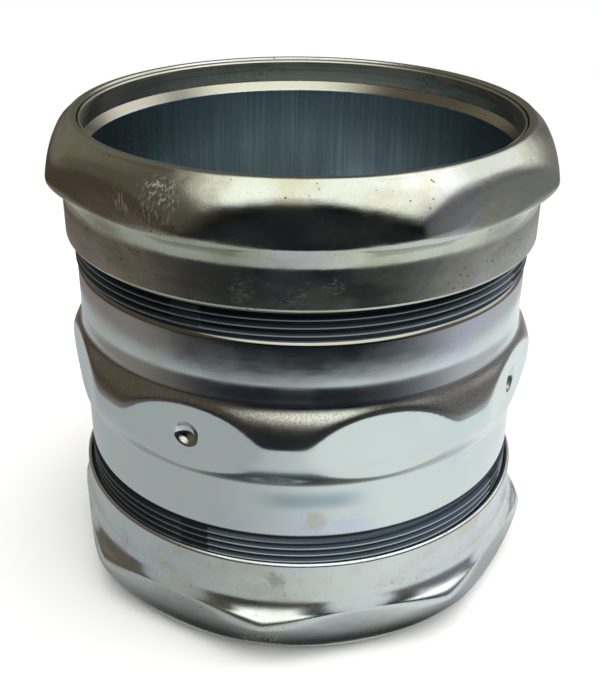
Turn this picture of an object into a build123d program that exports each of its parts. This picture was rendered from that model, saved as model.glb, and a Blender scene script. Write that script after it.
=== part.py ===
from build123d import *
import math
import os

# Steel compression coupling for trade size 3 conduit (88.9 mm outside diameter).
# One threaded body, and at each end a gland nut that squeezes a split gland ring on to the conduit.
# The frame stands on the lower nut's end: origin at the base on the fitting's axis, +Z up the axis.
# A turn is an angle about the axis, measured from -Y towards +X.

# ---- driving dimensions (mm) ----

# coupling body; its levels are measured from mid length, where the stop dimples are
BORE_R = 44.95             # conduit socket: 44.45 mm conduit radius and 0.5 mm clear all round
TUBE_R = 48.45
BODY_WALL = 3.3
SHOULDER = 21.8            # where each thread starts
SHOULDER_R = 47.97
SHOULDER_ROUND = 0.8
SHOULDER_STEP = 0.2        # from there down on to the thread's root
UPPER_MOUTH = 48.3         # end face of the body inside the upper nut
LOWER_MOUTH = 46.9
MOUTH_R = 46.9             # wide end of the bevel that wedges the gland ring
MOUTH_BEVEL = 3.8          # depth of that bevel
MOUTH_LAND = 0.25          # width of the flat left at the end face
MOUTH_EDGE = 0.5           # depth of the chamfer outside it

# wrench belt pressed out of the body's middle
BELT_R = 51.75             # over its corners
BELT_HALF = 8.4            # half of its length
BELT_FLAT_R = 49.5         # axis to a flat
BELT_TURN = 19.5           # middle of a flat

# stop dimples punched in through four of the belt's flats
STOP_COUNT = 4
STOP_TURN = -26.0
STOP_TIP_R = 43.3          # reaches in past the conduit's outside
STOP_TIP_HALF = 0.9
STOP_BOSS_R = 3.4          # bump on the inside, at its base
STOP_BOSS_ROUND = 0.9
STOP_BOSS_SUNK = 1.0       # how far its base is sunk into the wall
DENT_BALL_R = 2.9
DENT_DEPTH = 1.5

# threads: 16 turns per inch, rolled, right hand at both ends
PITCH = 25.4 / 16
ROOT_R = 47.75             # body, between the ridges
CREST_R = 48.73            # body, over the ridges
NUT_MAJOR_R = 48.90        # nut, between the ridges
NUT_MINOR_R = 47.92        # nut, over the ridges
RIDGE_HALF = 0.62          # half width of a ridge at its foot
CREST_HALF = 0.10
CREST_ROUND = 0.13
RIDGE_SUNK = 0.3           # how far a ridge's foot is sunk into its wall
THREAD_CLEAR = 1.0         # plain stretch at each end of a thread
SEAM_CLEAR_TURN = 127.0    # where the helices start, away from the other faces' seams

# gland nut; its levels are measured from its rim
NUT_LENGTH = 23.8
SKIRT_R = 50.2
SKIRT_LENGTH = 8.2
RIM_EDGE = 0.4
NECK_VIA = (50.75, 10.2)   # the hollow curve out from the skirt: radius and level half way
NECK_END = (52.2, 11.9)
BULGE_VIA = (53.5, 12.95)  # the round curve on to the corners
CORNER_R = 53.95           # over the corners
CORNER_LEVEL = 14.4
DOME_VIA = (52.25, 18.65)  # the long curve in to the end
DOME_END = (48.3, 23.1)
BROW_VIA = (47.87, 23.55)  # the small curve on to the end face
END_FACE_R = 47.3
FLAT_R = 51.0              # axis to a wrench flat
NUT_WALL = 2.1
NUT_ENTRY = 0.5            # chamfer that leads into the thread
NUT_THREAD_LENGTH = 8.6
HOLLOW_FOOT = 10.2         # above this level the inside widens
HOLLOW_LOW = 13.6          # the inside is widest between these two
HOLLOW_HIGH = 15.0
SEAT_DEPTH = 4.4           # cone that presses on the gland ring, from the nut's end
LIP_R = 46.1               # opening in the nut's end
LIP_EDGE = 0.4
LIP_WALL = 0.9
UPPER_RIM = 28.5           # rim of the upper nut, from the body's mid length
LOWER_RIM = 27.1
UPPER_NUT_TURN = 0.6       # middle of a flat
LOWER_NUT_TURN = 104.5

# gland ring; its levels are measured down from its top edge
RING_DROP = 0.6            # top edge below the nut's end
RING_HEIGHT = 4.9
RING_TOP_R = 45.33         # inside, at the top edge
RING_FOOT_R = 45.70        # inside, at the foot
RING_EDGE = 0.3
RING_LIP_CLEAR = 0.35      # inside the nut's opening, at the top edge
RING_NECK_CLEAR = 0.2      # the same at the neck
RING_NECK_DROP = 0.4
RING_WIDE_R = 47.3
RING_WIDE_DROP = 2.37
RING_WIDE_EDGE = (0.25, 0.4)
RING_GAP = 5.0             # width of the split
UPPER_SPLIT_TURN = 48.0
LOWER_SPLIT_TURN = 205.0

# ---- derived dimensions ----

MID = LOWER_RIM + NUT_LENGTH
UPPER_RIM_LEVEL = MID + UPPER_RIM
LOWER_RIM_LEVEL = MID - LOWER_RIM
HEIGHT = UPPER_RIM_LEVEL + NUT_LENGTH
SIDES = 8
PAST = 1.0                 # how far a cutting solid reaches past the face it cuts

os.makedirs("parts", exist_ok=True)


def save(piece, name):
    piece.label = name
    export_step(piece, f"parts/{name}.step")


def from_x(turn):
    """Angle from +X, for a turn measured from -Y."""
    return turn - 90.0


def turned(points):
    """Solid of revolution from a closed outline of (radius, level) points."""
    with BuildPart() as solid:
        with BuildSketch(Plane.XZ):
            with BuildLine():
                Polyline(*points, close=True)
            make_face()
        revolve(axis=Axis.Z)
    return solid.part


def octagon(flat_r, low, high):
    """Eight-sided prism with the middle of one side on +X."""
    with BuildPart() as prism:
        with BuildSketch(Plane.XY.offset(low)):
            RegularPolygon(
                radius=flat_r,
                side_count=SIDES,
                major_radius=False,
                rotation=180.0 / SIDES,
            )
        extrude(amount=high - low)
    return prism.part


def helix_level(level, share):
    """First level at or above the one given on the common helix, a share of a pitch on."""
    steps = math.ceil((level - MID) / PITCH - share)
    return MID + (steps + share) * PITCH


def thread_ridge(foot_r, tip_r, low, high):
    """Right-hand helical ridge between two levels, from foot_r out or in to tip_r."""
    reach = tip_r - foot_r
    way = math.copysign(1.0, reach)
    slope = (RIDGE_HALF - CREST_HALF) / abs(reach)
    shoulder = reach - way * CREST_ROUND
    shoulder_half = CREST_HALF + slope * CREST_ROUND
    sunk_half = RIDGE_HALF + slope * RIDGE_SUNK
    tip_half = CREST_HALF / 2
    outline = [
        (-way * RIDGE_SUNK, -sunk_half),
        (shoulder, -shoulder_half),
        (reach, -tip_half),
        (reach, tip_half),
        (shoulder, shoulder_half),
        (-way * RIDGE_SUNK, sunk_half),
    ]
    with BuildPart() as ridge:
        with BuildLine() as coil:
            Helix(pitch=PITCH, height=high - low, radius=foot_r, center=(0, 0, low))
        with BuildSketch(Plane(origin=coil.line @ 0, x_dir=(1, 0, 0), z_dir=coil.line % 0)):
            with BuildLine():
                Polyline(*outline, close=True)
            make_face()
        sweep(is_frenet=True)
    return ridge.part.rotate(Axis.Z, from_x(SEAM_CLEAR_TURN))


# ---- coupling body ----


def barrel(over_r, side_r, half):
    """Barrel about the axis at mid length, as wide as over_r in the middle."""
    with BuildPart() as solid:
        with BuildSketch(Plane.XZ):
            with BuildLine():
                ThreePointArc((side_r, MID - half), (over_r, MID), (side_r, MID + half))
                Polyline(
                    (side_r, MID + half),
                    (0, MID + half),
                    (0, MID - half),
                    (side_r, MID - half),
                )
            make_face()
        revolve(axis=Axis.Z)
    return solid.part


def belt(inset):
    """Wrench belt, or with an inset of the wall's thickness the hollow inside it."""
    over_all = barrel(BELT_R - inset, TUBE_R - inset, BELT_HALF)
    flats = octagon(BELT_FLAT_R - inset, MID - BELT_HALF, MID + BELT_HALF)
    return (over_all & flats).rotate(Axis.Z, from_x(BELT_TURN))


def body_half(mouth, way):
    """Outline points of one end of the body, from the tube to the axis; way is 1 up or -1 down."""
    rises = [
        (TUBE_R, SHOULDER - SHOULDER_ROUND),
        (SHOULDER_R, SHOULDER),
        (ROOT_R, SHOULDER + SHOULDER_STEP),
        (ROOT_R, mouth - MOUTH_EDGE),
        (MOUTH_R + MOUTH_LAND, mouth),
        (MOUTH_R, mouth),
        (BORE_R, mouth - MOUTH_BEVEL),
    ]
    return [(radius, MID + way * rise) for radius, rise in rises]


def stop_boss(turn):
    """Inward bump of one stop dimple."""
    base_r = BELT_FLAT_R - BODY_WALL + STOP_BOSS_SUNK
    with BuildPart() as boss:
        with BuildSketch(Plane.XY.offset(MID)):
            with BuildLine():
                Polyline(
                    (base_r, STOP_BOSS_R),
                    (base_r, 0),
                    (STOP_TIP_R, 0),
                    (STOP_TIP_R, STOP_TIP_HALF),
                )
                ThreePointArc(
                    (STOP_TIP_R, STOP_TIP_HALF),
                    (STOP_TIP_R + STOP_BOSS_ROUND, STOP_BOSS_R - STOP_BOSS_ROUND),
                    (base_r, STOP_BOSS_R),
                )
            make_face()
        revolve(axis=Axis((0, 0, MID), (1, 0, 0)))
    return boss.part.rotate(Axis.Z, from_x(turn))


def stop_dent(turn):
    """Ball that presses the outside of one stop dimple."""
    ball = Pos(BELT_FLAT_R - DENT_DEPTH + DENT_BALL_R, 0, MID) * Sphere(DENT_BALL_R)
    return ball.rotate(Axis.Z, from_x(turn))


stop_turns = [STOP_TURN + 360.0 / STOP_COUNT * number for number in range(STOP_COUNT)]
upper_thread = (
    helix_level(MID + SHOULDER + THREAD_CLEAR, 0),
    MID + UPPER_MOUTH - THREAD_CLEAR,
)
lower_thread = (
    helix_level(MID - LOWER_MOUTH + THREAD_CLEAR, 0),
    MID - SHOULDER - THREAD_CLEAR,
)
tube = turned(body_half(LOWER_MOUTH, -1) + body_half(UPPER_MOUTH, 1)[::-1])
threads = [thread_ridge(ROOT_R, CREST_R, low, high) for low, high in (upper_thread, lower_thread)]
belt_outside = belt(0)
belt_inside = belt(BODY_WALL)
bosses = [stop_boss(turn) for turn in stop_turns]
dents = [stop_dent(turn) for turn in stop_turns]

with BuildPart() as coupling_body:
    add(tube)
    add(belt_outside)
    add(belt_inside, mode=Mode.SUBTRACT)
    add(threads)
    add(bosses)
    add(dents, mode=Mode.SUBTRACT)

save(coupling_body.part, "coupling_body")

# ---- gland nuts ----


def nut_form():
    """Outside of a nut on its rim at level 0: a turned form cut by eight flats."""
    with BuildPart() as form:
        with BuildSketch(Plane.XZ):
            with BuildLine():
                Polyline((SKIRT_R, SKIRT_LENGTH), (SKIRT_R, RIM_EDGE), (SKIRT_R - RIM_EDGE, 0), (0, 0))
                ThreePointArc((SKIRT_R, SKIRT_LENGTH), NECK_VIA, NECK_END)
                ThreePointArc(NECK_END, BULGE_VIA, (CORNER_R, CORNER_LEVEL))
                ThreePointArc((CORNER_R, CORNER_LEVEL), DOME_VIA, DOME_END)
                ThreePointArc(DOME_END, BROW_VIA, (END_FACE_R, NUT_LENGTH))
                Polyline((END_FACE_R, NUT_LENGTH), (0, NUT_LENGTH), (0, 0))
            make_face()
        revolve(axis=Axis.Z)
    return form.part & octagon(FLAT_R, -PAST, NUT_LENGTH + PAST)


def nut_hollow():
    """Hollow above a nut's thread, one wall inside the form, narrowing to press on the gland ring."""
    hollow_r = CORNER_R - NUT_WALL
    seat_low = NUT_LENGTH - SEAT_DEPTH
    seat_high = NUT_LENGTH - LIP_WALL
    outline = [
        (0, SKIRT_LENGTH),
        (NUT_MAJOR_R, SKIRT_LENGTH),
        (NUT_MAJOR_R, HOLLOW_FOOT),
        (hollow_r, HOLLOW_LOW),
        (hollow_r, HOLLOW_HIGH),
        (NUT_MAJOR_R, seat_low),
        (LIP_R, seat_high),
        (0, seat_high),
    ]
    return turned(outline) & octagon(FLAT_R - NUT_WALL, 0, NUT_LENGTH)


def nut_shell():
    """A nut without its thread, standing on its rim with the middle of a flat on +X."""
    bore = [
        (0, -PAST),
        (NUT_MAJOR_R + NUT_ENTRY, -PAST),
        (NUT_MAJOR_R + NUT_ENTRY, 0),
        (NUT_MAJOR_R, NUT_ENTRY),
        (NUT_MAJOR_R, SKIRT_LENGTH + PAST),
        (0, SKIRT_LENGTH + PAST),
    ]
    opening = [
        (0, NUT_LENGTH - LIP_WALL - PAST),
        (LIP_R, NUT_LENGTH - LIP_WALL - PAST),
        (LIP_R, NUT_LENGTH - LIP_EDGE),
        (LIP_R + LIP_EDGE, NUT_LENGTH),
        (LIP_R + LIP_EDGE, NUT_LENGTH + PAST),
        (0, NUT_LENGTH + PAST),
    ]
    return nut_form() - turned(bore) - nut_hollow() - turned(opening)


def nut_thread(rim_level, way):
    """Ridge inside a nut, half a pitch off the body's; way is 1 for the upper nut, -1 for the lower."""
    near = rim_level + way * THREAD_CLEAR
    far = rim_level + way * NUT_THREAD_LENGTH
    return thread_ridge(NUT_MAJOR_R, NUT_MINOR_R, helix_level(min(near, far), 0.5), max(near, far))


shell = nut_shell()
upper_shell = Pos(0, 0, UPPER_RIM_LEVEL) * shell.rotate(Axis.Z, from_x(UPPER_NUT_TURN))
lower_shell = shell.rotate(Axis.X, 180).rotate(Axis.Z, from_x(LOWER_NUT_TURN))
lower_shell = Pos(0, 0, LOWER_RIM_LEVEL) * lower_shell
upper_nut_thread = nut_thread(UPPER_RIM_LEVEL, 1)
lower_nut_thread = nut_thread(LOWER_RIM_LEVEL, -1)

with BuildPart() as upper_gland_nut:
    add(upper_shell)
    add(upper_nut_thread)

with BuildPart() as lower_gland_nut:
    add(lower_shell)
    add(lower_nut_thread)

save(upper_gland_nut.part, "upper_gland_nut")
save(lower_gland_nut.part, "lower_gland_nut")

# ---- gland rings ----


def gland_ring():
    """Split ring with its top edge at level 0 and its split on +X: a taper to each side."""
    edge_across, edge_along = RING_WIDE_EDGE
    outline = [
        (RING_TOP_R, -RING_EDGE),
        (RING_TOP_R + RING_EDGE, 0),
        (LIP_R - RING_LIP_CLEAR, 0),
        (LIP_R - RING_NECK_CLEAR, -RING_NECK_DROP),
        (RING_WIDE_R - edge_across, -RING_WIDE_DROP + edge_along),
        (RING_WIDE_R, -RING_WIDE_DROP),
        (RING_FOOT_R + RING_EDGE, -RING_HEIGHT),
        (RING_FOOT_R, -RING_HEIGHT),
    ]
    split = Pos(RING_WIDE_R, 0, -RING_HEIGHT / 2) * Box(RING_WIDE_R, RING_GAP, 2 * RING_HEIGHT)
    return turned(outline) - split


ring = gland_ring()
upper_ring = Pos(0, 0, HEIGHT - RING_DROP) * ring.rotate(Axis.Z, from_x(UPPER_SPLIT_TURN))
lower_ring = ring.rotate(Axis.X, 180).rotate(Axis.Z, from_x(LOWER_SPLIT_TURN))
lower_ring = Pos(0, 0, RING_DROP) * lower_ring

with BuildPart() as upper_gland_ring:
    add(upper_ring)

with BuildPart() as lower_gland_ring:
    add(lower_ring)

save(upper_gland_ring.part, "upper_gland_ring")
save(lower_gland_ring.part, "lower_gland_ring")
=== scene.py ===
import math

import bmesh
import bpy
import numpy as np
from mathutils import Matrix, Vector


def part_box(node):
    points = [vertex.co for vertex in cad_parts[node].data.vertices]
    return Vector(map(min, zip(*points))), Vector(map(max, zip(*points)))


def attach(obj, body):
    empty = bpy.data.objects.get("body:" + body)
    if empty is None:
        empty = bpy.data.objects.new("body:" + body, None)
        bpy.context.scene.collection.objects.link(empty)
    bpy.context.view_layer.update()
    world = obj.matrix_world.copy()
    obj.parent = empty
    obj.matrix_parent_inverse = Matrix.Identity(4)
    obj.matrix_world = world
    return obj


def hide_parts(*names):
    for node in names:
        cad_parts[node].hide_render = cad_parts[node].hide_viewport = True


# The looks of a zinc plated compression coupling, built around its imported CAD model.
# Profiles are in millimetres, and a turn is an angle in degrees about the axis from -Y towards +X.

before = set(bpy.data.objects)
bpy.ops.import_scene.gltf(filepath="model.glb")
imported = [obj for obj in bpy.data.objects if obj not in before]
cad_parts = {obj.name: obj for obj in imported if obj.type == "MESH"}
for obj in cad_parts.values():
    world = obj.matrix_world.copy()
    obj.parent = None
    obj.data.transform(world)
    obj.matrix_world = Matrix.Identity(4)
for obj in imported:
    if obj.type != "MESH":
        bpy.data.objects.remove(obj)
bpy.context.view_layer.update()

MM = 0.001


def level(corner):
    return corner[2] / MM


# ---- levels of the pieces, from the CAD ----

BODY_HIGH = level(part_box("coupling_body")[1])
UPPER_RIM, UPPER_END = (level(corner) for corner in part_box("upper_gland_nut"))
LOWER_RIM = level(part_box("lower_gland_nut")[1])
UPPER_RING_TOP = level(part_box("upper_gland_ring")[1])
LOWER_RING_TOP = level(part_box("lower_gland_ring")[0])
NUT_LENGTH = UPPER_END - UPPER_RIM
UPPER_MOUTH = 48.3                   # end face of the body, from the stop dimples
MID = BODY_HIGH - UPPER_MOUTH        # level of the stop dimples

# ---- driving dimensions (mm), as in the CAD ----

BORE_R = 44.95
TUBE_R = 48.45
BODY_WALL = 3.3
SHOULDER = 21.8
SHOULDER_R = 47.97
SHOULDER_ROUND = 0.8
SHOULDER_STEP = 0.2
LOWER_MOUTH = 46.9
MOUTH_R = 46.9
MOUTH_BEVEL = 3.8
MOUTH_EDGE = 0.5
MOUTH_ROUND = 0.12
THREAD_GAP = 0.1                     # plain stretch between a thread and the edge beside it

BELT_R = 51.75
BELT_HALF = 8.4
BELT_FLAT_R = 49.5
BELT_TURN = 19.5

STOP_TURNS = [-26.0 + 90.0 * number for number in range(4)]
STOP_TIP_R = 43.3
STOP_BOSS_R = 3.4
DENT_BALL_R = 2.9
DENT_DEPTH = 1.5

PITCH = 25.4 / 16
ROOT_R = 47.75
CREST_R = 48.73
NUT_MAJOR_R = 48.90
NUT_MINOR_R = 47.92
HELIX_TURN = 127.0

SKIRT_R = 50.2
SKIRT_LENGTH = 8.2
RIM_EDGE = 0.4
NECK_VIA = (50.75, 10.2)
NECK_END = (52.2, 11.9)
BULGE_VIA = (53.5, 12.95)
CORNER = (53.95, 14.4)
DOME_VIA = (52.25, 18.65)
DOME_END = (48.3, 23.1)
BROW_VIA = (47.87, 23.55)
END_FACE_R = 47.3
FLAT_R = 51.0
NUT_WALL = 2.1
NUT_ENTRY = 0.5
NUT_THREAD = (0.7, 9.0)              # where a nut's thread starts and ends
NUT_THREAD_END = 9.9
HOLLOW_FOOT = 10.2
HOLLOW_LOW = 13.6
HOLLOW_HIGH = 15.0
SEAT_DEPTH = 4.4
LIP_R = 46.1
LIP_EDGE = 0.4
LIP_WALL = 0.9
UPPER_NUT_TURN = 0.6
LOWER_NUT_TURN = 104.5

RING_TOP_R = 45.33
RING_FOOT_R = 45.70
RING_EDGE = 0.3
RING_LIP_CLEAR = 0.35
RING_NECK_CLEAR = 0.2
RING_NECK_DROP = 0.4
RING_WIDE_R = 47.3
RING_WIDE_DROP = 2.37
RING_WIDE_EDGE = (0.25, 0.4)
RING_SEAM_DROP = 2.4                 # where the ring's outline closes, on its inside
RING_HEIGHT = 4.9
RING_GAP = 5.0
UPPER_SPLIT_TURN = 48.0
LOWER_SPLIT_TURN = 205.0


# ---- shapes as radius against turn and level ----


def smooth_min(a, b, blend):
    """Lesser of a and b, rounded over a difference of blend."""
    share = np.clip(0.5 + 0.5 * (b - a) / blend, 0.0, 1.0)
    return b + (a - b) * share - blend * share * (1.0 - share)


def smooth_max(a, b, blend):
    return -smooth_min(-a, -b, blend)


def smooth_step(x, low, high):
    share = np.clip((x - low) / (high - low), 0.0, 1.0)
    return share * share * (3.0 - 2.0 * share)


def octagon_radius(turn, flat_r, flat_turn):
    """Radius of an eight-sided prism with the middle of a side at flat_turn."""
    off = (turn - flat_turn + 22.5) % 45.0 - 22.5
    return flat_r / np.cos(np.radians(off))


def turn_from(turn, other):
    return (turn - other + 180.0) % 360.0 - 180.0


FOOT_PHASE = 0.38
CREST_PHASE = 0.06


def ridge(turn, height, share):
    """Height of a thread, 0 to 1, with its crest a share of a pitch off the common helix."""
    phase = ((height - MID) / PITCH - (turn - HELIX_TURN) / 360.0 - share + 0.5) % 1.0 - 0.5
    return np.clip((FOOT_PHASE - np.abs(phase)) / (FOOT_PHASE - CREST_PHASE), 0.0, 1.0)


def arc(start, via, end, count):
    """Points along the circle through three points, from start to end."""
    (ax, ay), (bx, by), (cx, cy) = start, via, end
    span = 2.0 * (ax * (by - cy) + bx * (cy - ay) + cx * (ay - by))
    a2 = ax * ax + ay * ay
    b2 = bx * bx + by * by
    c2 = cx * cx + cy * cy
    x = (a2 * (by - cy) + b2 * (cy - ay) + c2 * (ay - by)) / span
    y = (a2 * (cx - bx) + b2 * (ax - cx) + c2 * (bx - ax)) / span
    first = math.atan2(ay - y, ax - x)
    swing = (math.atan2(cy - y, cx - x) - first + math.pi) % (2.0 * math.pi) - math.pi
    size = math.hypot(ax - x, ay - y)
    angles = [first + swing * number / count for number in range(count + 1)]
    return [(x + size * math.cos(angle), y + size * math.sin(angle)) for angle in angles]


def eased(points, size, steps=4):
    """An outline with each inner corner rounded off, starting size away from it."""
    result = [points[0]]
    for before, corner, after in zip(points, points[1:], points[2:]):
        a, b, c = (np.array(point, float) for point in (before, corner, after))
        reach_in = min(size, 0.45 * np.linalg.norm(a - b))
        reach_out = min(size, 0.45 * np.linalg.norm(c - b))
        start = b + (a - b) / np.linalg.norm(a - b) * reach_in
        end = b + (c - b) / np.linalg.norm(c - b) * reach_out
        for number in range(steps + 1):
            t = number / steps
            point = start * (1 - t) ** 2 + b * 2 * t * (1 - t) + end * t ** 2
            result.append((float(point[0]), float(point[1])))
    result.append(points[-1])
    return result


# ---- mesh of a turned piece ----


class Lathe:
    """Rows of (radius, level) round the axis, joined into one closed surface of quads."""

    def __init__(self, turns):
        self.turns = np.asarray(turns, float)
        self.rows = []
        self.coils = []

    def row(self, radius, height):
        ones = np.ones_like(self.turns)
        self.rows.append((radius * ones, height * ones))

    def outline(self, points, shape=None):
        """Plain rows through (radius, level) points; shape changes the radius by turn and level."""
        for radius, height in points:
            self.row(shape(radius, self.turns, height) if shape else radius, height)

    def coil(self, low, high, radius_at, share, upward=True):
        """Rows that follow the helix between two levels, so that crests and roots stay sharp."""
        phases = [-FOOT_PHASE, -CREST_PHASE, CREST_PHASE, FOOT_PHASE]
        rise = PITCH * (self.turns - self.turns[0]) / 360.0
        start = MID + PITCH * (self.turns[0] - HELIX_TURN) / 360.0 + PITCH * share
        first = math.floor((low - start) / PITCH) - 1
        last = math.ceil((high - start) / PITCH)
        steps = [number + phase for number in range(first, last + 1) for phase in phases]
        begin = len(self.rows)
        for step in steps if upward else reversed(steps):
            heights = np.clip(start + PITCH * step + rise, low, high)
            self.rows.append((radius_at(self.turns, heights), heights))
        self.coils.append((begin, len(self.rows) - 1, len(phases) if upward else -len(phases)))

    def past_seam(self, number):
        """Row of the first column that meets this row of the last column."""
        for begin, end, step in self.coils:
            if begin <= number <= end:
                return min(max(number + step, begin), end)
        return number

    def mesh(self, name, whole=True):
        """The finished piece: a whole turn, or a stretch with its two ends closed."""
        radius, height = (np.array(rows) * MM for rows in zip(*self.rows))
        angle = np.radians(self.turns)
        points = np.stack([radius * np.sin(angle), -radius * np.cos(angle), height], -1)
        count, columns = radius.shape
        index = np.arange(count * columns).reshape(count, columns)
        after = np.roll(index, -1, axis=0)
        quads = np.stack([index[:, :-1], index[:, 1:], after[:, 1:], after[:, :-1]], -1)
        faces = quads.reshape(-1, 4).tolist()
        if whole:
            seam = index[[self.past_seam(number) for number in range(count)], 0]
            quads = np.stack([index[:, -1], seam, np.roll(seam, -1), after[:, -1]], -1)
            faces += quads.tolist()
        else:
            faces += [index[::-1, 0].tolist(), index[:, -1].tolist()]
        return solid(name, points.reshape(-1, 3), faces)


def solid(name, points, faces):
    """Object from points and faces, with coincident points merged and its normals outward."""
    data = bpy.data.meshes.new(name)
    data.from_pydata(points.tolist(), [], faces)
    work = bmesh.new()
    work.from_mesh(data)
    bmesh.ops.remove_doubles(work, verts=work.verts, dist=1e-6)
    bmesh.ops.dissolve_degenerate(work, edges=work.edges, dist=1e-7)
    bmesh.ops.recalc_face_normals(work, faces=work.faces)
    work.to_mesh(data)
    work.free()
    data.shade_smooth()
    piece = bpy.data.objects.new(name, data)
    bpy.context.scene.collection.objects.link(piece)
    weighted = piece.modifiers.new("normals", "WEIGHTED_NORMAL")
    weighted.keep_sharp = False
    return piece


# ---- coupling body ----


def belt_radius(turn, height, inset):
    """Radius of the wrench belt at a level, or of the hollow inside it."""
    sagitta = BELT_R - TUBE_R
    curve = (BELT_HALF ** 2 + sagitta ** 2) / (2.0 * sagitta)
    rise = np.clip(np.abs(height - MID), 0.0, BELT_HALF + 1.0)
    barrel = BELT_R - curve + np.sqrt(curve ** 2 - rise ** 2)
    flats = octagon_radius(turn, BELT_FLAT_R, BELT_TURN)
    return smooth_min(barrel, flats, 0.45) - inset


def stop_distance(turn, height):
    """Distance of a place on the belt from the axis of the nearest stop dimple."""
    quarter = (turn - STOP_TURNS[0] + 45.0) % 90.0 - 45.0
    across = BELT_FLAT_R * np.radians(quarter)
    return np.hypot(across, height - MID)


def body_outside(radius, turn, height):
    rise = abs(height - MID)
    flare = 0.25 * smooth_step(rise, 3.0, 7.0) * (1.0 - smooth_step(rise, 8.0, 12.8))
    blend = 0.8 + 1.4 * smooth_step(MID - height, 0.0, 6.0)
    belt = smooth_max(TUBE_R + flare, belt_radius(turn, height, 0.0), blend)
    distance = np.clip(stop_distance(turn, height), 0.0, DENT_BALL_R)
    ball = BELT_FLAT_R - DENT_DEPTH + DENT_BALL_R - np.sqrt(DENT_BALL_R ** 2 - distance ** 2)
    return np.where(distance < DENT_BALL_R, smooth_min(belt, ball, 0.35), belt)


def body_inside(radius, turn, height):
    hollow = smooth_max(BORE_R, belt_radius(turn, height, BODY_WALL), 0.6)
    boss = smooth_step(stop_distance(turn, height), 0.6, STOP_BOSS_R)
    return STOP_TIP_R + (hollow - STOP_TIP_R) * boss


def body_thread(low, high):
    """Radius of the body's thread, fading out at both its ends."""

    def radius_at(turn, height):
        fade = smooth_step(height, low, low + PITCH / 2) * smooth_step(-height, -high, PITCH / 2 - high)
        return ROOT_R + (CREST_R - ROOT_R) * ridge(turn, height, 0.0) * fade

    return radius_at


def body_columns():
    """Turns of the body's columns, closer together at the stop dimples."""
    coarse = np.arange(-180.0, 180.0, 1.5)
    near = np.concatenate([stop + np.arange(-3.9, 3.95, 0.39) for stop in STOP_TURNS])
    keep = [turn for turn in coarse if min(abs(turn_from(turn, stop)) for stop in STOP_TURNS) > 4.2]
    return np.unique(np.round((np.concatenate([keep, near]) + 180.0) % 360.0 - 180.0, 4))


def coupling_body():
    lathe = Lathe(body_columns())
    shoulder = [
        (TUBE_R, SHOULDER - SHOULDER_ROUND),
        (TUBE_R - 0.1, SHOULDER - 0.35),
        (SHOULDER_R, SHOULDER),
    ]
    belt_levels = np.arange(-13.0, 13.1, 0.5)
    dimple_levels = np.arange(-3.0, 3.05, 0.25)
    levels = np.unique(np.round(np.concatenate([belt_levels, dimple_levels, [-20.0, 20.0]]), 3))
    inner = levels[np.abs(levels) < 12.0]
    lower_end = MID - LOWER_MOUTH
    upper_end = MID + UPPER_MOUTH
    lathe.outline([(MOUTH_R, lower_end), (MOUTH_R + 0.2, lower_end), (ROOT_R, lower_end + MOUTH_EDGE)])
    thread = (lower_end + MOUTH_EDGE + THREAD_GAP, MID - SHOULDER - SHOULDER_STEP - THREAD_GAP)
    lathe.coil(*thread, body_thread(*thread), 0.0)
    lathe.outline([(ROOT_R, MID - SHOULDER - SHOULDER_STEP)])
    lathe.outline([(radius, MID - rise) for radius, rise in reversed(shoulder)])
    lathe.outline([(TUBE_R, MID + rise) for rise in levels], body_outside)
    lathe.outline([(radius, MID + rise) for radius, rise in shoulder])
    lathe.outline([(ROOT_R, MID + SHOULDER + SHOULDER_STEP)])
    thread = (MID + SHOULDER + SHOULDER_STEP + THREAD_GAP, upper_end - MOUTH_EDGE - THREAD_GAP)
    lathe.coil(*thread, body_thread(*thread), 0.0)
    mouth = [
        (ROOT_R, upper_end - MOUTH_EDGE),
        (MOUTH_R + 0.25, upper_end),
        (MOUTH_R, upper_end),
        (BORE_R, upper_end - MOUTH_BEVEL),
        (BORE_R, upper_end - MOUTH_BEVEL - 2.0),
    ]
    lathe.outline(eased(mouth, MOUTH_ROUND, 2))
    lathe.outline([(BORE_R, MID + rise) for rise in inner[::-1]], body_inside)
    lathe.outline(
        [
            (BORE_R, lower_end + MOUTH_BEVEL + 2.0),
            (BORE_R, lower_end + MOUTH_BEVEL + MOUTH_ROUND),
            (BORE_R + 0.05, lower_end + MOUTH_BEVEL - MOUTH_ROUND),
            (MOUTH_R - 0.1, lower_end + 0.2),
        ]
    )
    return lathe.mesh("body_shell")


# ---- gland nuts ----


def nut_outside():
    """Outline of a nut over its corners, from its rim to its opening, as (radius, rise from the rim)."""
    skirt = [(SKIRT_R, rise) for rise in (RIM_EDGE, 2.0 * RIM_EDGE, 4.0, SKIRT_LENGTH - 0.4)]
    neck = arc((SKIRT_R, SKIRT_LENGTH), NECK_VIA, NECK_END, 10)
    bulge = arc(NECK_END, BULGE_VIA, CORNER, 8)
    dome = arc(CORNER, DOME_VIA, DOME_END, 26)
    brow = arc(DOME_END, BROW_VIA, (END_FACE_R, NUT_LENGTH), 5)
    return [(SKIRT_R - RIM_EDGE, 0.0)] + skirt + neck + bulge[1:] + dome[1:] + brow[1:]


def nut_form(rim, flat_turn):
    """Cuts a nut's outline by its flats, with soft pressed edges except at the skirt and the lip."""

    def shape(radius, turn, height):
        rise = abs(height - rim)
        blend = 0.8 + 1.3 * smooth_step(rise, 8.5, 12.5) * (1.0 - smooth_step(rise, 20.5, 23.3))
        return smooth_min(radius, octagon_radius(turn, FLAT_R, flat_turn), blend)

    return shape


def nut_cavity(flat_turn):
    """Cuts the hollow inside a nut by its flats, one wall in."""

    def shape(radius, turn, height):
        return smooth_min(radius, octagon_radius(turn, FLAT_R - NUT_WALL, flat_turn), 0.2)

    return shape


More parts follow.
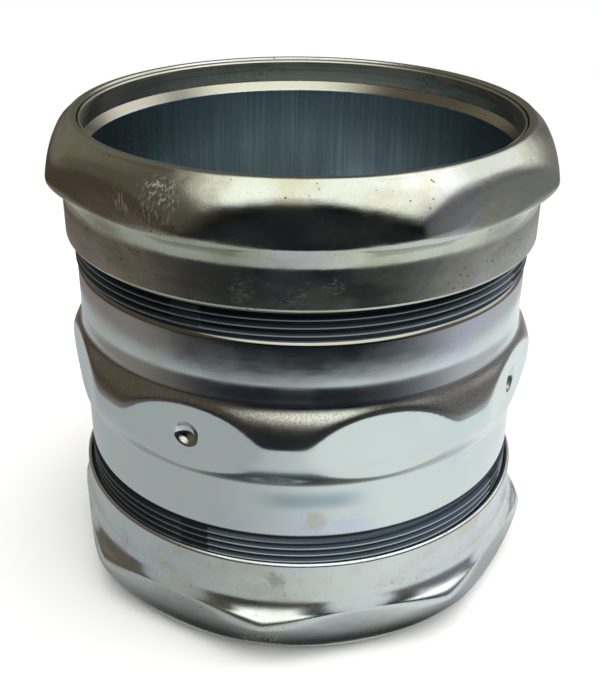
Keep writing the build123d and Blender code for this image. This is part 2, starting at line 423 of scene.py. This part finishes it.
def gland_nut(name, rim, way, flat_turn):
    """One nut; way is 1 with its opening upwards, -1 downwards."""
    lathe = Lathe(np.arange(-180.0, 180.0, 0.6))

    def placed(points):
        return [(radius, rim + way * rise) for radius, rise in points]

    lathe.outline(placed(nut_outside()), nut_form(rim, flat_turn))
    opening = [
        (END_FACE_R, NUT_LENGTH),
        (LIP_R + LIP_EDGE, NUT_LENGTH),
        (LIP_R, NUT_LENGTH - LIP_EDGE),
        (LIP_R, NUT_LENGTH - LIP_WALL),
        (NUT_MAJOR_R, NUT_LENGTH - SEAT_DEPTH),
    ]
    lathe.outline(placed(eased(opening, 0.15, 3)))
    cavity = [
        (CORNER[0] - NUT_WALL, HOLLOW_HIGH),
        (CORNER[0] - NUT_WALL, HOLLOW_LOW),
        (NUT_MAJOR_R + 0.3, HOLLOW_FOOT),
        (NUT_MAJOR_R, NUT_THREAD_END),
    ]
    lathe.outline(placed(cavity), nut_cavity(flat_turn))
    near, far = sorted(rim + way * rise for rise in NUT_THREAD)

    def radius_at(turn, height):
        fade = smooth_step(height, near, near + PITCH / 2) * smooth_step(-height, -far, PITCH / 2 - far)
        return NUT_MAJOR_R - (NUT_MAJOR_R - NUT_MINOR_R) * ridge(turn, height, 0.5) * fade

    lathe.coil(near, far, radius_at, 0.5, upward=way < 0)
    lathe.outline(placed([(NUT_MAJOR_R, NUT_ENTRY), (NUT_MAJOR_R + NUT_ENTRY, 0.0)]))
    return lathe.mesh(name)


# ---- gland rings ----


def gland_ring(name, top, way, split_turn):
    """One split ring; way is 1 with its wedge downwards, -1 upwards."""
    half_gap = math.degrees(math.asin(RING_GAP / 2.0 / RING_WIDE_R))
    lathe = Lathe(np.linspace(split_turn + half_gap, split_turn + 360.0 - half_gap, 480))
    edge_across, edge_along = RING_WIDE_EDGE
    outline = [
        (RING_TOP_R, -RING_SEAM_DROP),
        (RING_TOP_R, -RING_EDGE),
        (RING_TOP_R + RING_EDGE, 0.0),
        (LIP_R - RING_LIP_CLEAR, 0.0),
        (LIP_R - RING_NECK_CLEAR, -RING_NECK_DROP),
        (RING_WIDE_R - edge_across, edge_along - RING_WIDE_DROP),
        (RING_WIDE_R, -RING_WIDE_DROP),
        (RING_FOOT_R + RING_EDGE, -RING_HEIGHT),
        (RING_FOOT_R, -RING_HEIGHT),
        (RING_TOP_R, -RING_SEAM_DROP),
    ]
    points = eased(outline, 0.1, 2)
    lathe.outline([(radius, top + way * drop) for radius, drop in points[:-1]])
    return lathe.mesh(name, whole=False)


# ---- materials ----


class Shader:
    """A metal material and short ways to add the nodes that give it its detail."""

    def __init__(self, name):
        self.material = bpy.data.materials.new(name)
        self.material.use_nodes = True
        self.tree = self.material.node_tree
        self.surface = self.tree.nodes["Principled BSDF"]
        self.surface.inputs["Metallic"].default_value = 1.0
        self.place = self.node("ShaderNodeTexCoord").outputs["Object"]

    def node(self, kind, **settings):
        made = self.tree.nodes.new(kind)
        for name, value in settings.items():
            setattr(made, name, value)
        return made

    def plug(self, value, socket):
        if isinstance(value, bpy.types.NodeSocket):
            self.tree.links.new(value, socket)
        else:
            socket.default_value = value

    def math(self, operation, *values):
        made = self.node("ShaderNodeMath", operation=operation)
        for value, socket in zip(values, made.inputs):
            self.plug(value, socket)
        return made.outputs[0]

    def stretch(self, x, y, z):
        """Object coordinates scaled per axis, in cycles per millimetre."""
        made = self.node("ShaderNodeMapping")
        self.plug(self.place, made.inputs["Vector"])
        made.inputs["Scale"].default_value = (x / MM, y / MM, z / MM)
        return made.outputs[0]

    def noise(self, x, y, z, detail=3.0, rough=0.55, offset=0.0, twist=0.0):
        made = self.node("ShaderNodeTexNoise")
        vector = self.stretch(x, y, z)
        if offset:
            shift = self.node("ShaderNodeVectorMath", operation="ADD")
            self.plug(vector, shift.inputs[0])
            shift.inputs[1].default_value = (offset, offset, offset)
            vector = shift.outputs[0]
        self.plug(vector, made.inputs["Vector"])
        made.inputs["Scale"].default_value = 1.0
        made.inputs["Detail"].default_value = detail
        made.inputs["Roughness"].default_value = rough
        made.inputs["Distortion"].default_value = twist
        return made.outputs["Fac"]

    def cells(self, scale):
        """Distance from the nearest of scattered points, in cells of 1 / scale millimetres."""
        made = self.node("ShaderNodeTexVoronoi")
        self.plug(self.stretch(scale, scale, scale), made.inputs["Vector"])
        made.inputs["Scale"].default_value = 1.0
        return made.outputs["Distance"]

    def between(self, value, low, high, start=0.0, end=1.0):
        """value from low to high, smoothly mapped to start to end."""
        made = self.node("ShaderNodeMapRange", interpolation_type="SMOOTHSTEP")
        self.plug(value, made.inputs["Value"])
        made.inputs["From Min"].default_value = low
        made.inputs["From Max"].default_value = high
        made.inputs["To Min"].default_value = start
        made.inputs["To Max"].default_value = end
        return made.outputs["Result"]

    def spot(self, turn, radius, height, size, ragged=0.0):
        """1 at a place on the piece, fading to 0 at size millimetres; ragged breaks its edge up."""
        made = self.node("ShaderNodeVectorMath", operation="DISTANCE")
        self.plug(self.place, made.inputs[0])
        made.inputs[1].default_value = point_at(turn, radius, height)
        distance = made.outputs["Value"]
        if ragged:
            rough = self.noise(0.9, 0.9, 0.9, detail=4.0, offset=turn)
            distance = self.math("MULTIPLY_ADD", rough, 2.0 * ragged * size * MM, distance)
            distance = self.math("SUBTRACT", distance, ragged * size * MM)
        return self.between(distance, size * MM, 0.35 * size * MM)

    def strip(self, turn, half_turn, height, half_height):
        """1 in the middle of a stretch of the front, fading to 0 at its four sides."""
        front, right, _ = self.polar()
        parts = self.node("ShaderNodeSeparateXYZ")
        self.plug(self.place, parts.inputs[0])
        reach = math.sin(math.radians(half_turn))
        off = self.math("ABSOLUTE", self.math("SUBTRACT", right, math.sin(math.radians(turn))))
        rise = self.math("ABSOLUTE", self.math("SUBTRACT", parts.outputs["Z"], height * MM))
        across = self.between(off, reach, 0.3 * reach)
        along = self.between(rise, half_height * MM, 0.1 * half_height * MM)
        here = self.math("MULTIPLY", across, self.between(front, 0.0, 0.1))
        return self.math("MULTIPLY", here, along)

    def tint(self, factor, colour, under):
        """under with colour laid over it where factor is 1."""
        made = self.node("ShaderNodeMix", data_type="RGBA")
        self.plug(factor, made.inputs["Factor"])
        self.plug(under, made.inputs["A"])
        self.plug(colour, made.inputs["B"])
        return made.outputs["Result"]

    def polar(self):
        """How far round a place is towards -Y and +X, as cosines, and its distance from the axis."""
        level_place = self.node("ShaderNodeVectorMath", operation="MULTIPLY")
        self.plug(self.place, level_place.inputs[0])
        level_place.inputs[1].default_value = (1.0, 1.0, 0.0)
        length = self.node("ShaderNodeVectorMath", operation="LENGTH")
        self.plug(level_place.outputs["Vector"], length.inputs[0])
        parts = self.node("ShaderNodeSeparateXYZ")
        self.plug(self.place, parts.inputs[0])
        out = length.outputs["Value"]
        front = self.math("DIVIDE", self.math("MULTIPLY", parts.outputs["Y"], -1.0), out)
        return front, self.math("DIVIDE", parts.outputs["X"], out), out

    def bump(self, height, depth, under=None):
        """Normal with height added, where a height of 1 is depth millimetres."""
        made = self.node("ShaderNodeBump")
        made.inputs["Strength"].default_value = 1.0
        made.inputs["Distance"].default_value = depth * MM
        self.plug(height, made.inputs["Height"])
        if under:
            self.plug(under, made.inputs["Normal"])
        return made.outputs["Normal"]

    def finish(self, colour, roughness, normal):
        self.plug(colour, self.surface.inputs["Base Color"])
        self.plug(roughness, self.surface.inputs["Roughness"])
        self.plug(normal, self.surface.inputs["Normal"])
        return self.material


def point_at(turn, radius, height):
    angle = math.radians(turn)
    return Vector((radius * math.sin(angle), -radius * math.cos(angle), height)) * MM


def rgb(red, green, blue):
    return (red, green, blue, 1.0)


def zinc(name, base, cool, warm, pits, relief, rough_from, rough_to):
    """Bright zinc plate: cloudy tints, pits and fine relief, with a duller teal bore darkened by painted
    shade.
    """
    shade = Shader(name)
    out = shade.polar()[2]
    cloud = shade.noise(0.035, 0.035, 0.05, detail=2.0)
    patch = shade.noise(0.11, 0.11, 0.16, detail=4.0, offset=7.0)
    grain = shade.noise(2.2, 2.2, 2.2, detail=3.0, rough=0.7, offset=3.0)
    across = shade.noise(1.3, 1.3, 0.03, detail=3.0, rough=0.6, offset=11.0)
    around = shade.noise(0.03, 0.03, 3.2, detail=3.0, rough=0.6, offset=5.0)
    bore = shade.between(out, 0.0453, 0.0450)
    colour = shade.tint(shade.between(cloud, 0.45, 0.75), rgb(*cool), rgb(*base))
    colour = shade.tint(shade.between(patch, 0.45, 0.75), rgb(*warm), colour)
    # The bore's colour: drawn streaks in a teal plate tint, darkened as painted shade inside the bore.
    drawn_and_shaded = shade.tint(shade.between(across, 0.35, 0.75), rgb(0.50, 0.60, 0.64), rgb(0.37, 0.46, 0.50))
    colour = shade.tint(bore, drawn_and_shaded, colour)
    pit = shade.between(shade.cells(0.55), 0.16, 0.08)
    pit = shade.math("MULTIPLY", pit, shade.between(patch, 0.42, 0.62))
    pit = shade.math("MULTIPLY", pit, shade.math("SUBTRACT", 1.0, bore))
    speck = shade.math("MULTIPLY", shade.between(grain, 0.62, 0.72), shade.math("SUBTRACT", 1.0, bore))
    colour = shade.tint(shade.math("MULTIPLY", pit, pits), rgb(0.12, 0.10, 0.09), colour)
    colour = shade.tint(shade.math("MULTIPLY", speck, 0.6 * pits), rgb(0.25, 0.2, 0.17), colour)
    rough = shade.between(patch, 0.3, 0.7, rough_from, rough_to)
    rough = shade.math("MULTIPLY_ADD", around, 0.05, rough)
    rough = shade.math("MULTIPLY_ADD", pit, 0.2 * pits, rough)
    rough = shade.math("MAXIMUM", rough, shade.math("MULTIPLY", bore, 0.24))
    wave = shade.noise(0.12, 0.12, 0.16, detail=2.0, offset=2.0)
    normal = shade.bump(wave, 8.0 * relief)
    normal = shade.bump(around, 0.15 * relief, normal)
    normal = shade.bump(grain, relief, normal)
    return shade, colour, rough, normal


def upper_nut_zinc():
    """The upper nut's plate: olive grey, scuffed bare in one place and smudged on the skirt."""
    look = ((0.54, 0.57, 0.48), (0.55, 0.56, 0.60), (0.48, 0.48, 0.37), 0.9, 0.017, 0.13, 0.24)
    shade, colour, rough, normal = zinc("upper_nut_zinc", *look)
    strokes = shade.noise(2.2, 2.2, 0.45, detail=3.0, rough=0.7, offset=41.0, twist=0.4)
    strokes = shade.between(strokes, 0.5, 0.62)
    scuff = shade.spot(-29.0, 52.0, UPPER_RIM + 18.5, 6.0, 0.5)
    scuff = shade.math("MAXIMUM", scuff, shade.spot(-38.0, 52.4, UPPER_RIM + 17.5, 4.0, 0.5))
    scuff = shade.math("MULTIPLY", scuff, strokes)
    colour = shade.tint(shade.math("MULTIPLY", scuff, 0.85), rgb(0.92, 0.91, 0.86), colour)
    rough = shade.math("MULTIPLY_ADD", scuff, 0.35, rough)
    fleck = shade.noise(1.1, 1.1, 3.0, detail=4.0, rough=0.8, offset=61.0)
    smudge = shade.spot(-12.0, 50.3, UPPER_RIM + 4.0, 3.0, 0.6)
    smudge = shade.math("MAXIMUM", smudge, shade.spot(-1.0, 50.3, UPPER_RIM + 3.0, 2.6, 0.6))
    smudge = shade.math("MAXIMUM", smudge, shade.spot(7.0, 50.3, UPPER_RIM + 5.0, 2.4, 0.6))
    smudge = shade.math("MULTIPLY", smudge, shade.between(fleck, 0.5, 0.62))
    rough = shade.math("MULTIPLY_ADD", smudge, 0.15, rough)
    return shade.finish(colour, rough, normal)


def lower_nut_zinc():
    """The lower nut's plate: pale, with one dark run on the skirt and a worn streak low in front."""
    look = ((0.66, 0.71, 0.69), (0.62, 0.66, 0.74), (0.60, 0.61, 0.54), 0.6, 0.010, 0.17, 0.27)
    shade, colour, rough, normal = zinc("lower_nut_zinc", *look)
    run = shade.spot(-5.0, 50.3, LOWER_RIM - 4.0, 2.4, 0.9)
    colour = shade.tint(shade.math("MULTIPLY", run, 0.5), rgb(0.22, 0.25, 0.27), colour)
    dashes = shade.between(shade.noise(2.4, 0.6, 3.0, detail=2.0, offset=51.0), 0.52, 0.58)
    worn = shade.math("MULTIPLY", shade.spot(-8.0, 51.0, LOWER_RIM - 19.0, 7.0, 0.5), dashes)
    colour = shade.tint(worn, rgb(0.90, 0.92, 0.88), colour)
    rough = shade.math("MULTIPLY_ADD", worn, 0.25, rough)
    return shade.finish(colour, rough, normal)


def body_zinc():
    """The body's plate: painted shade on the threads, darkest at their roots, warmer bevels, dull
    pressed slopes, two painted reflections and marks in front.
    """
    look = ((0.66, 0.73, 0.74), (0.60, 0.64, 0.76), (0.68, 0.73, 0.69), 0.0, 0.002, 0.05, 0.11)
    shade, colour, rough, normal = zinc("body_zinc", *look)
    parts = shade.node("ShaderNodeSeparateXYZ")
    shade.plug(shade.place, parts.inputs[0])
    rise = shade.math("ABSOLUTE", shade.math("SUBTRACT", parts.outputs["Z"], MID * MM))
    out = shade.polar()[2]
    thread = shade.between(rise, 0.0217, 0.0219)
    bevel = shade.math("MULTIPLY", thread, shade.between(out, 0.0450, 0.0452))
    colour = shade.tint(bevel, rgb(0.52, 0.51, 0.41), colour)
    rough = shade.math("MAXIMUM", rough, shade.math("MULTIPLY", bevel, 0.24))
    # Painted shade: the whole thread is darkened, and nearly black below its crests at the roots.
    painted_thread_shade = shade.math("MULTIPLY", thread, shade.between(out, 0.0470, 0.0473))
    colour = shade.tint(painted_thread_shade, rgb(0.30, 0.35, 0.37), colour)
    painted_root_shade = shade.math("MULTIPLY", painted_thread_shade, shade.between(out, 0.04872, 0.0485))
    colour = shade.tint(painted_root_shade, rgb(0.05, 0.07, 0.09), colour)
    rough = shade.math("MAXIMUM", rough, shade.math("MULTIPLY", painted_thread_shade, 0.36))
    facing = shade.node("ShaderNodeSeparateXYZ")
    shade.plug(shade.node("ShaderNodeTexCoord").outputs["Normal"], facing.inputs[0])
    pressed = shade.between(facing.outputs["Z"], 0.05, 0.30)
    pressed = shade.math("MULTIPLY", pressed, shade.between(rise, 0.0096, 0.0086))
    pressed = shade.math("MULTIPLY", pressed, shade.between(out, 0.0484, 0.0490))
    rough = shade.math("MULTIPLY_ADD", pressed, 0.13, rough)
    sand = shade.noise(2.6, 2.6, 2.6, detail=3.0, rough=0.75, offset=71.0)
    dull = shade.math("MULTIPLY", pressed, shade.between(sand, 0.35, 0.65, 0.3, 0.9))
    colour = shade.tint(dull, rgb(0.44, 0.41, 0.32), colour)
    normal = shade.bump(shade.math("MULTIPLY", pressed, sand), 0.012, normal)
    edge = shade.math("SUBTRACT", shade.between(rise, 0.0208, 0.0212), thread)
    colour = shade.tint(shade.math("MULTIPLY", edge, 0.7), rgb(0.30, 0.27, 0.18), colour)
    # Painted reflections: two soft dark bands across the body's front.
    high_painted_reflection = shade.strip(-4.0, 12.0, MID - 5.6, 2.6)
    low_painted_reflection = shade.strip(3.0, 16.0, MID - 12.6, 3.0)
    painted_reflections = shade.math("MAXIMUM", high_painted_reflection, low_painted_reflection)
    colour = shade.tint(shade.math("MULTIPLY", painted_reflections, 0.75), rgb(0.30, 0.39, 0.46), colour)
    stain = shade.spot(4.0, TUBE_R, MID - 17.5, 3.2, 0.6)
    colour = shade.tint(shade.math("MULTIPLY", stain, 0.45), rgb(0.50, 0.42, 0.28), colour)
    spot = shade.spot(20.0, TUBE_R, MID + 4.0, 0.7, 0.4)
    colour = shade.tint(spot, rgb(0.10, 0.08, 0.07), colour)
    return shade.finish(colour, rough, normal)


def ring_steel():
    """Turned spring steel under thin zinc: fine rings and a few dull patches."""
    shade = Shader("ring_steel")
    lathe = shade.noise(0.01, 0.01, 5.0, detail=3.0, rough=0.65)
    patch = shade.noise(0.08, 0.08, 0.3, detail=3.0, offset=4.0)
    colour = shade.tint(shade.between(lathe, 0.4, 0.65), rgb(0.36, 0.35, 0.30), rgb(0.58, 0.57, 0.50))
    colour = shade.tint(shade.between(patch, 0.5, 0.75), rgb(0.5, 0.46, 0.42), colour)
    rough = shade.between(patch, 0.3, 0.7, 0.26, 0.42)
    return shade.finish(colour, rough, shade.bump(lathe, 0.02))


# ---- room: floor, lights and camera ----


FLOOR_LEVEL = -0.0002                # metres, as is all that stands in the room
MIRRORED_LEVEL = 0.0008
CAMERA_PLACE = (0.0, -0.2127, 0.1576)
CAMERA_DOWN = 27.679                 # degrees below level
CAMERA_YAW = -0.03
CAMERA_ROLL = 0.664
CAMERA_LENS = 53.13                  # focal length against a sensor 36 wide


def flat_sheet(name, half, z):
    """A level square about the axis, facing up."""
    data = bpy.data.meshes.new(name)
    corners = [(-half, -half, z), (half, -half, z), (half, half, z), (-half, half, z)]
    data.from_pydata(corners, [], [(0, 1, 2, 3)])
    sheet = bpy.data.objects.new(name, data)
    bpy.context.scene.collection.objects.link(sheet)
    return sheet


def floor():
    """Matt white near the fitting, passing into a plain white glow away from it."""
    sheet = flat_sheet("floor", 3.0, FLOOR_LEVEL)
    shade = Shader("floor")
    shade.surface.inputs["Metallic"].default_value = 0.0
    shade.surface.inputs["Base Color"].default_value = rgb(0.9, 0.9, 0.9)
    shade.surface.inputs["Roughness"].default_value = 0.8
    shade.surface.inputs["Specular IOR Level"].default_value = 0.1
    glow = shade.node("ShaderNodeEmission")
    blend = shade.node("ShaderNodeMixShader")
    shade.plug(shade.between(shade.polar()[2], 0.09, 0.28), blend.inputs[0])
    shade.plug(shade.surface.outputs[0], blend.inputs[1])
    shade.plug(glow.outputs[0], blend.inputs[2])
    shade.plug(blend.outputs[0], shade.tree.nodes["Material Output"].inputs["Surface"])
    shade.material.cycles.emission_sampling = "NONE"
    sheet.data.materials.append(shade.material)


def mirrored_table():
    """A sheet that only reflections show, in place of the floor, tuned for the view from the front.

    It glows with painted light: a painted shadow of the fitting, a pale sheet, and past that a dim
    table, dark to the front.
    """
    sheet = flat_sheet("mirrored_table", 3.5, MIRRORED_LEVEL)
    shade = Shader("mirrored_table")
    front, right, out = shade.polar()
    dim = shade.tint(shade.between(right, -0.3, 0.7), rgb(0.24, 0.24, 0.25), rgb(0.09, 0.065, 0.05))
    far = shade.tint(shade.between(right, -0.3, 0.7), rgb(0.56, 0.55, 0.58), rgb(0.26, 0.22, 0.20))
    far = shade.tint(shade.between(out, 0.21, 0.29), dim, far)
    far = shade.tint(shade.between(front, 0.05, 0.95), rgb(0.014, 0.016, 0.022), far)
    near = shade.tint(shade.between(right, -0.6, 0.6), rgb(0.88, 0.92, 0.90), rgb(0.46, 0.48, 0.47))
    colour = shade.tint(shade.between(out, 0.156, 0.170), far, near)
    # Painted shadow of the fitting, dark near its foot and strongest to the front.
    facing = shade.between(front, 0.55, 0.9, 0.5, 1.0)
    painted_contact_shadow = shade.math("MULTIPLY", shade.between(out, 0.066, 0.052), facing)
    colour = shade.tint(painted_contact_shadow, rgb(0.04, 0.04, 0.04), colour)
    glow = shade.node("ShaderNodeEmission")
    shade.plug(colour, glow.inputs["Color"])
    clear = shade.node("ShaderNodeBsdfTransparent")
    blend = shade.node("ShaderNodeMixShader")
    shade.plug(shade.between(out, 0.0500, 0.0505), blend.inputs[0])
    shade.plug(clear.outputs[0], blend.inputs[1])
    shade.plug(glow.outputs[0], blend.inputs[2])
    shade.plug(blend.outputs[0], shade.tree.nodes["Material Output"].inputs["Surface"])
    shade.tree.nodes.remove(shade.surface)
    shade.material.cycles.emission_sampling = "NONE"
    sheet.data.materials.append(shade.material)
    sheet.visible_camera = False
    sheet.visible_diffuse = False
    sheet.visible_shadow = False


def area_light(name, place, aim, size, power):
    data = bpy.data.lights.new(name, "AREA")
    data.shape = "RECTANGLE"
    data.size, data.size_y = size
    data.energy = power
    lamp = bpy.data.objects.new(name, data)
    lamp.location = place
    lamp.rotation_euler = (Vector(aim) - Vector(place)).to_track_quat("-Z", "Y").to_euler()
    bpy.context.scene.collection.objects.link(lamp)
    return lamp


def lights():
    """One broad light overhead, left out of the metal's reflections."""
    lamp = area_light("overhead", (0.1, -0.1, 1.6), (0.0, 0.0, 0.0), (2.2, 2.2), 27.0)
    lamp.visible_glossy = False


def lobe(tree, direction, azimuth, rise, colour, inner, outer):
    """Glow of one part of the room, full within inner degrees of a direction and gone at outer."""
    flat = math.cos(math.radians(rise))
    aim = (flat * math.sin(math.radians(azimuth)), -flat * math.cos(math.radians(azimuth)))
    dot = tree.nodes.new("ShaderNodeVectorMath")
    dot.operation = "DOT_PRODUCT"
    tree.links.new(direction, dot.inputs[0])
    dot.inputs[1].default_value = (*aim, math.sin(math.radians(rise)))
    fade = tree.nodes.new("ShaderNodeMapRange")
    fade.interpolation_type = "SMOOTHSTEP"
    tree.links.new(dot.outputs["Value"], fade.inputs["Value"])
    fade.inputs["From Min"].default_value = math.cos(math.radians(outer))
    fade.inputs["From Max"].default_value = math.cos(math.radians(inner))
    scaled = tree.nodes.new("ShaderNodeVectorMath")
    scaled.operation = "SCALE"
    scaled.inputs[0].default_value = colour
    tree.links.new(fade.outputs["Result"], scaled.inputs["Scale"])
    return scaled.outputs["Vector"]


ROOM = [
    # azimuth, rise, colour, inner, outer
    (24.0, 66.0, (1.60, 1.60, 1.54), 31.0, 50.0),
    (118.0, 38.0, (1.10, 1.08, 1.08), 12.0, 36.0),
    (100.0, 5.0, (0.20, 0.19, 0.21), 20.0, 60.0),
    (-95.0, 10.0, (0.13, 0.11, 0.085), 20.0, 80.0),
    (180.0, 20.0, (0.13, 0.125, 0.105), 20.0, 80.0),
]


def sky():
    """Plain white behind the object for the camera, and a room of soft lights for all else."""
    world = bpy.data.worlds.new("sky")
    world.use_nodes = True
    bpy.context.scene.world = world
    tree = world.node_tree
    tree.nodes.clear()
    direction = tree.nodes.new("ShaderNodeTexCoord").outputs["Generated"]
    total = None
    for azimuth, rise, colour, inner, outer in ROOM:
        glow = lobe(tree, direction, azimuth, rise, colour, inner, outer)
        if total:
            both = tree.nodes.new("ShaderNodeVectorMath")
            tree.links.new(total, both.inputs[0])
            tree.links.new(glow, both.inputs[1])
            glow = both.outputs["Vector"]
        total = glow
    room = tree.nodes.new("ShaderNodeBackground")
    tree.links.new(total, room.inputs["Color"])
    plain = tree.nodes.new("ShaderNodeBackground")
    plain.inputs["Color"].default_value = rgb(1.0, 1.0, 1.0)
    seen = tree.nodes.new("ShaderNodeLightPath").outputs["Is Camera Ray"]
    pick = tree.nodes.new("ShaderNodeMixShader")
    tree.links.new(seen, pick.inputs[0])
    tree.links.new(room.outputs[0], pick.inputs[1])
    tree.links.new(plain.outputs[0], pick.inputs[2])
    output = tree.nodes.new("ShaderNodeOutputWorld")
    tree.links.new(pick.outputs[0], output.inputs["Surface"])


def camera():
    """Looks down on the fitting from in front, close to."""
    data = bpy.data.cameras.new("camera")
    data.lens = CAMERA_LENS
    data.sensor_width = 36.0
    data.clip_start = 0.01
    seen_from = bpy.data.objects.new("camera", data)
    pitch = Matrix.Rotation(math.radians(90.0 - CAMERA_DOWN), 4, "X")
    yaw = Matrix.Rotation(math.radians(CAMERA_YAW), 4, "Z")
    roll = Matrix.Rotation(math.radians(CAMERA_ROLL), 4, "Z")
    seen_from.matrix_world = Matrix.Translation(CAMERA_PLACE) @ yaw @ pitch @ roll
    bpy.context.scene.collection.objects.link(seen_from)
    bpy.context.scene.camera = seen_from


def dress(piece, node, body, material):
    """Stands piece in for a CAD node."""
    piece.data.materials.append(material)
    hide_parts(node)
    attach(piece, body)


steel = ring_steel()

dress(coupling_body(), "coupling_body", "body", body_zinc())
upper_nut = gland_nut("upper_nut_shell", UPPER_RIM, 1.0, UPPER_NUT_TURN)
dress(upper_nut, "upper_gland_nut", "upper_nut", upper_nut_zinc())
lower_nut = gland_nut("lower_nut_shell", LOWER_RIM, -1.0, LOWER_NUT_TURN)
dress(lower_nut, "lower_gland_nut", "lower_nut", lower_nut_zinc())
upper_ring = gland_ring("upper_ring_band", UPPER_RING_TOP, 1.0, UPPER_SPLIT_TURN)
dress(upper_ring, "upper_gland_ring", "upper_ring", steel)
lower_ring = gland_ring("lower_ring_band", LOWER_RING_TOP, -1.0, LOWER_SPLIT_TURN)
dress(lower_ring, "lower_gland_ring", "lower_ring", steel)

floor()
mirrored_table()
lights()
sky()
camera()
bpy.context.scene.view_settings.view_transform = "Standard"
